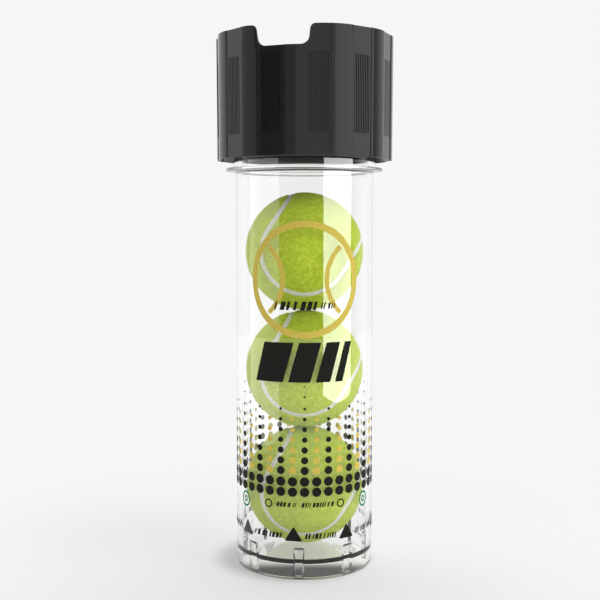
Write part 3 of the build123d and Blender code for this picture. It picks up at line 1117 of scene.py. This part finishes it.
@dataclass
class InnerPlug:
    """The plug that the lid draws down into the neck, with its seals and retaining ring."""

    radius: float = 35.6
    wall: float = 3.0
    bottom: float = 229.5
    plate_under: float = 251.2
    plate_top: float = 254.6
    flange_radius: float = 39.5
    boss_radius: float = 11.8
    boss_top: float = 262.0
    valve_hole: float = 4.55
    ring_groove: float = 259.3
    ring_groove_height: float = 1.3
    o_ring_height: float = 236.0
    facets: int = 160

    def plug(self) -> None:
        """Turn the plug."""
        groove_floor = self.radius - 2.45
        profile = rounded(
            [
                (self.valve_hole, self.plate_under), (self.radius - self.wall, self.plate_under, 1.5),
                (self.radius - self.wall, self.bottom, 0.6), (self.radius, self.bottom, 1.2),
                (self.radius, self.o_ring_height - 1.6, 0.15), (groove_floor, self.o_ring_height - 1.6, 0.2),
                (groove_floor, self.o_ring_height + 1.6, 0.2), (self.radius, self.o_ring_height + 1.6, 0.15),
                (self.radius, self.plate_under, 0.3), (self.flange_radius, self.plate_under, 0.4),
                (self.flange_radius, self.plate_top, 0.4), (self.boss_radius, self.plate_top, 0.2),
                (self.boss_radius, self.ring_groove), (self.boss_radius - 1.0, self.ring_groove),
                (self.boss_radius - 1.0, self.ring_groove + self.ring_groove_height),
                (self.boss_radius, self.ring_groove + self.ring_groove_height),
                (self.boss_radius, self.boss_top, 0.5), (self.valve_hole, self.boss_top, 0.3)
            ],
            steps=3
        )
        piece(turned(profile, self.facets), "inner_plug", Body.INNER_CAP, SOFT_BLACK, ["plug"])

    def o_ring(self) -> None:
        """Turn the round seal."""
        middle, thick = 34.5, 1.3
        circle = [
            (middle + thick * math.cos(a), self.o_ring_height + thick * math.sin(a))
            for a in (math.tau * step / 20 for step in range(20))
        ]
        piece(turned(circle, self.facets), "o_ring", Body.INNER_CAP, SEAL_RUBBER, ["plug_o_ring"], crease=60)

    def flat_rings(self) -> None:
        """Turn the rim gasket and the slip washer."""
        for name, node, finish, inner, outer, low, high in (
            ("gasket", "rim_gasket", SEAL_RUBBER, self.radius + 0.2, self.flange_radius, 250.0, self.plate_under),
            ("slip_ring", "slip_washer", WAXY_WHITE, self.boss_radius + 0.2, 39.0, self.plate_top, 255.7)
        ):
            profile = boxed(inner, outer, low, high, 0.2)
            piece(turned(profile, self.facets), name, Body.INNER_CAP, finish, [node])

    def retaining_ring(self) -> None:
        """Bend the split spring ring, with a gap where pliers open it."""
        low, high = self.ring_groove + 0.1, self.ring_groove + self.ring_groove_height - 0.1
        inner, outer, gap = self.boss_radius - 0.95, self.boss_radius + 2.2, 14.0
        profile = boxed(inner, outer, low, high, 0.12, 2)
        bm = bmesh.new()
        edges = chain(bm, profile, close=True)
        face = bm.faces.new([v for v in bm.verts])
        bmesh.ops.rotate(bm, verts=bm.verts, cent=(0, 0, 0), matrix=Matrix.Rotation(math.radians(gap), 3, "Z"))
        bmesh.ops.spin(
            bm, geom=[face, *edges, *bm.verts], cent=(0, 0, 0), axis=AXIS_UP, angle=math.radians(360 - 2 * gap),
            steps=90
        )
        bmesh.ops.recalc_face_normals(bm, faces=bm.faces)
        piece(bm, "spring_ring", Body.INNER_CAP, STEEL, ["retaining_ring"])

    def build(self) -> None:
        """Make the plug and what is on it."""
        self.plug()
        self.o_ring()
        self.flat_rings()
        self.retaining_ring()


# --- valve


@dataclass
class InflationValve:
    """The valve in the middle of the plug: stem, grommet, washer, nut, core, spring and pin."""

    stem_radius: float = 4.4
    neck_radius: float = 3.87
    neck_from: float = 268.0
    top: float = 286.0
    shoulder: float = 248.7
    head_radius: float = 7.5
    head_height: float = 1.7
    bore: float = 2.6
    lower_bore: float = 1.3
    spring_seat: float = 256.0
    nut_from: float = 263.2
    nut_height: float = 4.0
    nut_flats: float = 12.0
    thread_pitch: float = 0.8
    facets: int = 64

    def stem(self) -> None:
        """Turn the stem, with its thread as close-set ridges, and a plain collar between them."""
        under = self.shoulder - self.head_height
        head = [(self.head_radius, under, 0.4), (self.head_radius, self.shoulder, 0.3)]
        outside: list[tuple[float, ...]] = []
        z = self.shoulder + 3.4
        while z < self.top - 1.4:
            crest = self.stem_radius if z < self.neck_from - 1 else self.neck_radius
            outside += [(crest - 0.32, z), (crest, z + 0.28), (crest, z + 0.46)]
            z += self.thread_pitch
        profile = [
            (self.lower_bore, under),
            *rounded([*head, (self.stem_radius, self.shoulder)])[:-1],
            (self.stem_radius, self.shoulder),
            (self.stem_radius, self.shoulder + 3.0),
            *outside,
            (self.neck_radius - 0.3, self.top - 1.0),
            (self.neck_radius - 0.3, self.top - 0.3),
            (self.neck_radius - 0.6, self.top),
            (self.bore + 0.25, self.top),
            (self.bore, self.top - 0.3),
            (self.bore, self.spring_seat),
            (self.lower_bore, self.spring_seat),
        ]
        piece(turned(profile, self.facets), "stem", Body.INNER_CAP, BRASS, ["valve_stem"], crease=50)

    def nut(self) -> None:
        """Make the hexagon nut, with its corners turned off above."""
        bm = bmesh.new()
        across = self.nut_flats / math.sqrt(3)
        bmesh.ops.create_cone(
            bm, cap_ends=True, segments=6, radius1=across * MM, radius2=across * MM, depth=self.nut_height * MM,
            matrix=Matrix.Translation((0, 0, (self.nut_from + self.nut_height / 2) * MM))
        )
        bmesh.ops.recalc_face_normals(bm, faces=bm.faces)
        low, high = self.nut_from, self.nut_from + self.nut_height
        limit, reach = self.nut_flats / 2 + 0.15, self.stem_radius + 0.02
        cone = [(limit + 3, low - 1), (limit + 1.6, high - 1.1), (limit - 0.2, high)]
        bevelled = turned([(0, low - 1), *cone, (0, high)], 72)
        hole = turned([(0, low - 2), (reach, low - 2), (reach, high + 2), (0, high + 2)], 48)
        whole = joined(joined(bm, [bevelled], Join.SHARE), [hole], Join.CUT)
        weld(whole)
        piece(whole, "hex_nut", Body.INNER_CAP, BRASS, ["valve_nut"], crease=20)

    def small_parts(self) -> None:
        """Turn the washer, the core's body and the pin."""
        washer = rounded([(4.5, 262.0, 0.15), (8.5, 262.0, 0.25), (8.5, 263.2, 0.25), (4.5, 263.2, 0.15)], steps=2)
        piece(turned(washer, self.facets), "washer", Body.INNER_CAP, STEEL, ["valve_washer"])
        core = [
            (0.75, 270.0), (2.1, 270.0), (2.5, 270.6), (2.5, 276.4), (2.2, 276.7), (2.2, 277.3), (2.5, 277.6),
            (2.5, 283.2), (2.1, 284.0), (0.75, 284.0)
        ]
        piece(turned(core, 40), "core_body", Body.INNER_CAP, BRASS, ["valve_core"])
        pin = [
            (0.0, 267.4), (1.5, 267.4), (1.8, 267.8), (1.8, 269.4), (1.4, 269.9), (0.65, 269.9), (0.65, 285.2),
            (0.5, 285.4), (0.0, 285.4)
        ]
        piece(turned(pin, 28), "press_pin", Body.PIN, STEEL, ["valve_pin"])

    def build(self, frame: dict) -> None:
        """Make the valve; its hidden grommet and spring keep their CAD shapes.
        """
        self.stem()
        self.nut()
        self.small_parts()
        dress(frame, SEAL_RUBBER, ["valve_grommet"])
        dress(frame, STEEL, ["valve_spring"])


# --- balls


class Half(Enum):
    """Which half turn sweeps a profile out of the ball's z = 0 plane."""

    UPPER = Vector((1, 0, 0))
    LOWER = Vector((0, 1, 0))


@dataclass(frozen=True)
class BallShape:
    """The shape that every ball shares: two felt panels that meet along a rubber seam.

    The seam runs round four half circles that each lie 45 degrees from their own centre: two about
    the ball's x axis in its upper half, and two about its y axis in its lower half.
    """

    radius: float = 33.35
    core_radius: float = 30.3
    seam_width: float = 3.4
    seam_rise: float = 32.95
    turns: int = 110
    fibres: int = 9000
    fibre_radius: float = 0.035

    @property
    def border(self) -> float:
        """The angle of a felt panel's edge from its circle's centre, in degrees past 45."""
        return math.degrees(self.seam_width / 2 / self.radius)

    def band_profile(self, low: float, high: float, count: int) -> list[Point2]:
        """Draw a felt panel's section: a crowned outside, rolled edges and the glued underside.

        Args:
            low: Angle of one edge, in degrees.
            high: Angle of the other.
            count: Steps across the outside; an even number keeps a point in the middle.

        Returns:
            Angle and radius of each point, once round.
        """
        rolled = [(0.0, -1.1), (0.12, -0.62), (0.45, -0.30), (0.95, -0.10), (1.6, -0.02)]
        left = [(low + turn, self.radius + drop) for turn, drop in rolled]
        right = [(high - turn, self.radius + drop) for turn, drop in reversed(rolled)]
        start, end = low + 2.2, high - 2.2
        crown = [(start + (end - start) * step / count, self.radius) for step in range(count + 1)]
        below = [(high - (high - low) * step / 8, self.core_radius) for step in range(9)]
        return [*left, *crown, *right, *below]

    def sweep(self, bm: Mesh, profile: Sequence[Point2], half: Half, close: bool) -> None:
        """Turn a profile half way round, out of the ball's z = 0 plane.

        Args:
            bm: The mesh to add it to.
            profile: Angle and radius of each point in that plane.
            half: The half of the ball to sweep it through.
            close: Whether the profile is a closed loop.
        """
        verts = [
            bm.verts.new(Vector((r * math.cos(math.radians(a)), r * math.sin(math.radians(a)), 0)) * MM)
            for a, r in profile
        ]
        edges = [bm.edges.new(pair) for pair in zip(verts, verts[1:])]
        if close:
            edges.append(bm.edges.new((verts[-1], verts[0])))
        bmesh.ops.spin(bm, geom=[*verts, *edges], cent=(0, 0, 0), axis=half.value, angle=math.pi, steps=self.turns)

    def capped(self, profile: Sequence[Point2], axis_angle: float) -> list[Point2]:
        """Keep the part of a closed section on the far side of its turning axis.

        Args:
            profile: The whole section, which is the same on both sides of the axis.
            axis_angle: The axis's angle, in degrees.

        Returns:
            An open chain from the axis, round the edge and back to the axis.
        """
        kept = [point for point in profile if point[0] >= axis_angle - 1e-6]
        outside = [point for point in kept if point[1] > self.core_radius + 0.1]
        below = [point for point in kept if point[1] <= self.core_radius + 0.1]
        return [*outside, *below]

    @cache
    def panel(self, first: Half) -> Mesh:
        """Build one felt panel: a band through one half of the ball and a cap at each end of it.

        Args:
            first: The half that the band runs through.

        Returns:
            The closed panel, to be copied for each ball.
        """
        bm = bmesh.new()
        edge = 45 + self.border
        second = Half.LOWER if first is Half.UPPER else Half.UPPER
        centre = 90.0 if first is Half.UPPER else 0.0
        band = self.band_profile(centre - 90 + edge, centre + 90 - edge, 44)
        self.sweep(bm, band, first, close=True)
        cap = self.capped(band, centre)
        if first is Half.UPPER:
            chains = [[(180 - a, r) for a, r in cap], [(a - 180, r) for a, r in cap]]
        else:
            chains = [cap, [(180 - a, r) for a, r in cap]]
        for points in chains:
            self.sweep(bm, points, second, close=False)
        weld(bm, 0.01)
        return bm

    def ruffle(self, bm: Mesh, seed: int) -> None:
        """Let the felt's outside swell and sink in tufts.

        Args:
            bm: The panel in the ball's own axes.
            seed: A number that sets this ball's tufts apart from the others'.
        """
        shift = Vector((seed * 3.1, seed * 1.7, seed * 0.9))
        for vert in bm.verts:
            reach = vert.co.length / MM
            if reach < self.core_radius + 1.5:
                continue
            at = vert.co / MM
            slow = noise.noise(at * 0.16 + shift)
            quick = noise.noise(at * 0.55 + shift)
            fine = noise.noise(at * 1.3 + shift)
            vert.co *= 1 + (0.10 * slow + 0.07 * quick + 0.05 * fine - 0.06) / self.radius

    def off_seam(self, toward: Vector) -> float:
        """Measure how far a direction is from the seam.

        Args:
            toward: A unit vector in the ball's own axes.

        Returns:
            The angle in degrees between it and the nearest point of the seam.
        """
        along = abs(toward.x) if toward.z > 0 else abs(toward.y)
        return abs(math.degrees(math.acos(min(1.0, along))) - 45)

    def fibre(self, bm: Mesh, foot: Vector, out: Vector, aim: Vector, length: float) -> None:
        """Add one loose fibre: a slim three-sided spike that bends over.

        Args:
            bm: The mesh to add it to.
            foot: Where it leaves the felt, in metres.
            out: The unit vector straight off the ball.
            aim: The unit vector that its tip leans towards.
            length: Its length in millimetres.
        """
        side = aim.cross(out).normalized()
        front = side.cross(out)
        bend = foot + (out * 0.75 + aim * 0.35).normalized() * length * 0.5 * MM
        tip = bm.verts.new(bend + aim * length * 0.5 * MM)
        rings = []
        for place, thick in ((foot, self.fibre_radius), (bend, self.fibre_radius * 0.75)):
            corners = ((1.0, 0.0), (-0.5, 0.87), (-0.5, -0.87))
            rings.append([bm.verts.new(place + (side * a + front * b) * thick * MM) for a, b in corners])
        low, high = rings
        bm.faces.new(reversed(low))
        for index in range(3):
            after = (index + 1) % 3
            bm.faces.new((low[index], low[after], high[after], high[index]))
            bm.faces.new((high[index], high[after], tip))

    def nap(self, seed: int, upright: Vector) -> Mesh:
        """Scatter loose fibres over the felt, but none at the two spots where balls touch.

        Args:
            seed: A number that sets this ball's fibres apart from the others'.
            upright: The can's axis in the ball's own axes.

        Returns:
            The fibres.
        """
        chance = random.Random(seed)
        bm = bmesh.new()
        while len(bm.faces) < self.fibres * 7:
            toward = Vector(chance.gauss(0, 1) for _ in range(3)).normalized()
            if self.off_seam(toward) < self.border + 0.6 or abs(toward.dot(upright)) > math.cos(math.radians(9)):
                continue
            lean = Vector(chance.gauss(0, 1) for _ in range(3)).cross(toward).normalized()
            aim = (toward * chance.uniform(-0.25, 0.45) + lean).normalized()
            foot = toward * (self.radius - 0.25) * MM
            self.fibre(bm, foot, toward, aim, chance.uniform(0.7, 1.5))
        bmesh.ops.recalc_face_normals(bm, faces=bm.faces)
        return bm

    @cache
    def seam(self) -> Mesh:
        """Build the rubber seam: a low rounded ridge that fills the groove between the panels.

        Returns:
            The closed seam, to be copied for each ball.
        """
        bm = bmesh.new()
        half = self.border + 0.1
        across = [(step / 6 * 2 - 1) for step in range(7)]
        top = [(share * half, self.seam_rise - 0.35 * share**4) for share in across]
        section = [*top, (half, self.core_radius), (-half, self.core_radius)]
        for middle, sweep in ((45.0, Half.UPPER), (135.0, Half.UPPER), (45.0, Half.LOWER), (-45.0, Half.LOWER)):
            self.sweep(bm, [(middle + a, r) for a, r in section], sweep, close=True)
        weld(bm, 0.01)
        return bm


@dataclass
class TennisBall:
    """One ball in the can: its felt, seam, loose fibres and rubber core."""

    name: str
    body: Body
    centre: float
    seed: int
    tilt: float = 32.5
    shape: BallShape = BallShape()

    def place(self) -> Matrix:
        """Return where the ball lies, from its own axes to the can's."""
        return Matrix.Translation((0, 0, self.centre * MM)) @ Matrix.Rotation(math.radians(self.tilt), 4, "Y")

    def build(self, frame: dict) -> None:
        """Make the ball; its hidden rubber core keeps its CAD shape.
        """
        where = self.place()
        upright = where.to_3x3().inverted() @ AXIS_UP
        node = f"{self.name}_ball"
        for letter, first in (("a", Half.UPPER), ("b", Half.LOWER)):
            panel = self.shape.panel(first).copy()
            self.shape.ruffle(panel, self.seed)
            bmesh.ops.transform(panel, matrix=where, verts=panel.verts)
            piece(panel, f"{node}_panel_{letter}", self.body, BALL_FELT, [f"{node}_felt_{letter}"], crease=70)
        for bm, name, finish, nodes in (
            (self.shape.seam().copy(), "seam_line", SEAM_RUBBER, [f"{node}_seam"]),
            (self.shape.nap(self.seed, upright), "nap", BALL_NAP, [])
        ):
            bmesh.ops.transform(bm, matrix=where, verts=bm.verts)
            piece(bm, f"{node}_{name}", self.body, finish, nodes, crease=60)
        dress(frame, CORE_RUBBER, [f"{node}_core_lower", f"{node}_core_upper"])


# --- studio


@dataclass
class Panel:
    """A soft light panel that faces the can, and lights diffuse surfaces or mirrors in glossy ones."""

    name: str
    azimuth: float
    distance: float
    width: float
    height: float
    low: float
    radiance: float
    only_gloss: bool = True

    def build(self, seen_in: Sequence[bpy.types.Object] = ()) -> None:
        """Stand the panel up, turned towards the can's axis.

        Args:
            seen_in: The only objects that it lights, or none to light them all.
        """
        light = bpy.data.lights.new(self.name, "AREA")
        light.shape = "RECTANGLE"
        light.size, light.size_y = self.width, self.height
        light.energy = self.radiance * 4 * self.width * self.height
        made = bpy.data.objects.new(self.name, light)
        bpy.context.scene.collection.objects.link(made)
        turn = math.radians(self.azimuth)
        middle = self.low + self.height / 2
        made.location = (self.distance * math.sin(turn), -self.distance * math.cos(turn), middle)
        made.rotation_euler = (math.radians(90), 0, turn)
        made.visible_camera = False
        made.visible_transmission = False
        made.visible_diffuse = not self.only_gloss
        made.visible_glossy = self.only_gloss
        if seen_in:
            group = bpy.data.collections.new(f"{self.name}_lights")
            for item in seen_in:
                group.objects.link(item)
            made.light_linking.receiver_collection = group


@dataclass
class Studio:
    """Pale floor, soft panels at the sides, an overhead light and the camera."""

    backdrop: float = 0.922
    through_glass: float = 1.0
    front_dark: float = 0.14
    floor_glow: float = 0.30
    floor_in_gloss: float = 1.0
    floor_radius: float = 1.2
    lens: float = 61.66
    camera_place: tuple[float, float, float] = (-0.0025, -0.5858, 0.1938)
    camera_tilt: float = 4.29

    def world(self) -> None:
        """Light the can from behind and above, and keep the room dark in front of it."""
        world = bpy.data.worlds.new("studio")
        bpy.context.scene.world = world
        world.use_nodes = True
        bench = NodeBench(world.node_tree)
        toward = bench.add("ShaderNodeTexCoord").outputs["Generated"]
        split = bench.add("ShaderNodeSeparateXYZ", {"Vector": toward})
        inputs = {"Value": split.outputs["Y"], "From Min": -0.15, "From Max": 0.55}
        inputs |= {"To Min": self.front_dark, "To Max": 0.95}
        behind = bench.add("ShaderNodeMapRange", inputs, interpolation_type="SMOOTHSTEP")
        seen = self.seen_level(bench, behind.outputs["Result"])
        background = world.node_tree.nodes["Background"]
        bench.tree.links.new(seen, background.inputs["Strength"])
        background.inputs["Color"].default_value = (1, 1, 1, 1)

    def seen_level(self, bench: NodeBench, unseen: Socket | float) -> Socket:
        """Choose a brightness by who looks: the camera, the camera through clear plastic, or a surface.

        Args:
            bench: The nodes to add to.
            unseen: The brightness for rays that only light a surface.

        Returns:
            The brightness.
        """
        paths = bench.add("ShaderNodeLightPath").outputs
        mirrored = bench.add("ShaderNodeMath", {0: paths["Glossy Depth"], 1: 0.5}, operation="LESS_THAN")
        straight = bench.add(
            "ShaderNodeMath", {0: paths["Is Transmission Ray"], 1: mirrored.outputs[0]}, operation="MULTIPLY"
        )
        level = unseen
        for ray, shade in ((straight.outputs[0], self.through_glass), (paths["Is Camera Ray"], self.backdrop)):
            mix = bench.add("ShaderNodeMix", {"Factor": ray}, data_type="FLOAT")
            if isinstance(level, Socket):
                bench.tree.links.new(level, mix.inputs[2])
            else:
                mix.inputs[2].default_value = level
            mix.inputs[3].default_value = shade
            level = mix.outputs[0]
        return level

    def floor(self) -> None:
        """Lay a wide floor that fades into the backdrop away from the can, with a shadow painted round the can's
        foot.
        """
        bm = bmesh.new()
        bmesh.ops.create_circle(bm, cap_ends=True, segments=96, radius=self.floor_radius)
        bmesh.ops.translate(bm, verts=bm.verts, vec=(0, 0, -0.0002))
        made = as_object(bm, "floor")
        paper = bpy.data.materials.new("pale_paper")
        paper.use_nodes = True
        made.data.materials.append(paper)
        bench = NodeBench(paper.node_tree)
        shader = paper.node_tree.nodes["Principled BSDF"]
        # Painted shadow round the foot: it darkens the paper from 0.80 to 0.10 and dims the floor's glow with it.
        painted_shadow_mask = self.painted_foot_shadow(bench)
        tint = bench.add("ShaderNodeMix", {"Factor": painted_shadow_mask}, data_type="RGBA")
        tint.inputs[6].default_value = (0.10, 0.10, 0.10, 1)
        tint.inputs[7].default_value = (0.80, 0.80, 0.80, 1)
        bench.tree.links.new(tint.outputs[2], shader.inputs["Base Color"])
        shader.inputs["Roughness"].default_value = 0.9
        shader.inputs["Specular IOR Level"].default_value = 0.1
        shader.inputs["Emission Color"].default_value = (1, 1, 1, 1)
        glow = bench.add("ShaderNodeMath", {0: painted_shadow_mask, 1: self.floor_glow}, operation="MULTIPLY")
        bench.tree.links.new(glow.outputs[0], shader.inputs["Emission Strength"])
        reach = bench.add("ShaderNodeVectorMath", {0: bench.place()}, operation="LENGTH")
        fade = bench.add(
            "ShaderNodeMapRange",
            {"Value": reach.outputs["Value"], "From Min": 0.10, "From Max": 0.26, "To Min": 0.0, "To Max": 1.0},
            interpolation_type="SMOOTHSTEP"
        )
        shade = self.seen_level(bench, self.floor_in_gloss)
        glow = bench.add("ShaderNodeEmission", {"Color": (1, 1, 1, 1), "Strength": shade})
        mix = bench.add("ShaderNodeMixShader", {"Fac": fade.outputs["Result"]})
        bench.tree.links.new(shader.outputs["BSDF"], mix.inputs[1])
        bench.tree.links.new(glow.outputs["Emission"], mix.inputs[2])
        bench.tree.links.new(mix.outputs["Shader"], paper.node_tree.nodes["Material Output"].inputs["Surface"])

    def painted_foot_shadow(self, bench: NodeBench) -> Socket:
        """Paint a shadow on the paper under the front of the can's foot and close beside it on the left.

        Args:
            bench: The nodes to add to.

        Returns:
            A factor: 1 is plain paper, 0 the darkest painted shadow.
        """

        def ramp(value: Socket, low: float, high: float, start: float = 0.0) -> Socket:
            inputs = {"Value": value, "From Min": low, "From Max": high, "To Min": start}
            return bench.add("ShaderNodeMapRange", inputs, interpolation_type="SMOOTHSTEP").outputs["Result"]

        where = bench.place()
        out = bench.add("ShaderNodeVectorMath", {0: where}, operation="LENGTH").outputs["Value"]
        back = bench.add("ShaderNodeSeparateXYZ", {"Vector": where}).outputs["Y"]
        beside = bench.add("ShaderNodeVectorMath", {0: where, 1: (-0.006, 0.002, 0.0)}, operation="DISTANCE")
        # Painted shadow: full under the front of the foot, and a lighter one, no darker than 0.62, round the outside
        # a little to the left.
        inputs = {"Factor": ramp(out, 0.0375, 0.0395), 2: ramp(back, -0.020, -0.004)}
        inputs[3] = ramp(beside.outputs["Value"], 0.034, 0.052, 0.62)
        return bench.add("ShaderNodeMix", inputs, data_type="FLOAT").outputs[0]

    def camera(self) -> None:
        """Stand the camera in front of the can, a little above its middle."""
        lens = bpy.data.cameras.new("camera")
        lens.lens = self.lens
        lens.sensor_width = 36.0
        made = bpy.data.objects.new("camera", lens)
        bpy.context.scene.collection.objects.link(made)
        made.location = self.camera_place
        made.rotation_euler = (math.radians(90 - self.camera_tilt), 0, 0)
        bpy.context.scene.camera = made

    def build(self) -> None:
        """Set up the whole studio; the can's own pieces are there by now."""
        bpy.context.scene.view_settings.view_transform = "Standard"
        self.world()
        self.floor()
        clear = [bpy.data.objects["clear_tube"]]
        lid = [bpy.data.objects["screw_lid"]]
        Panel("right_gloss", 55, 0.50, 0.47, 0.40, 0.015, 7.5).build(clear)
        Panel("left_gloss", -69, 0.36, 0.395, 0.40, 0.0, 1.7).build(clear)
        Panel("right_wall", 57, 0.52, 0.55, 0.9, 0.10, 1.05).build(lid)
        Panel("front_wall", 8, 0.60, 0.42, 0.9, 0.10, 0.46).build(lid)
        Panel("gap_wall", -24, 0.60, 0.24, 0.9, 0.10, 0.20).build(lid)
        Panel("left_wall", -80, 0.60, 0.62, 0.9, 0.10, 0.34).build(lid)
        Panel("right_fill", 65, 1.2, 0.9, 1.2, 0.05, 1.3, only_gloss=False).build()
        self.overhead()
        self.camera()

    def overhead(self) -> None:
        """Hang a broad soft light over the can."""
        light = bpy.data.lights.new("overhead", "AREA")
        light.shape = "RECTANGLE"
        light.size = light.size_y = 1.4
        light.energy = 6.0
        made = bpy.data.objects.new("overhead", light)
        bpy.context.scene.collection.objects.link(made)
        made.location = (0.0, 0.1, 1.5)
        made.visible_camera = False
        made.visible_transmission = False
        made.visible_glossy = False


def main() -> None:
    """Load the frame and build every sub-assembly on it."""
    logging.basicConfig(level=logging.INFO, format="%(name)s %(message)s")
    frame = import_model()
    ClearTube().build()
    TubePrint().build()
    ScrewLid().build()
    InnerPlug().build()
    InflationValve().build(frame)
    bodies = (("bottom", Body.BALL_BOTTOM, 3), ("middle", Body.BALL_MIDDLE, 5), ("top", Body.BALL_TOP, 8))
    for index, (name, body, seed) in enumerate(bodies):
        TennisBall(name, body, LOWEST_BALL + BALL_PITCH * index, seed).build(frame)
    Studio().build()
    LOG.info("sizes written")


if __name__ == "__main__":
    main()
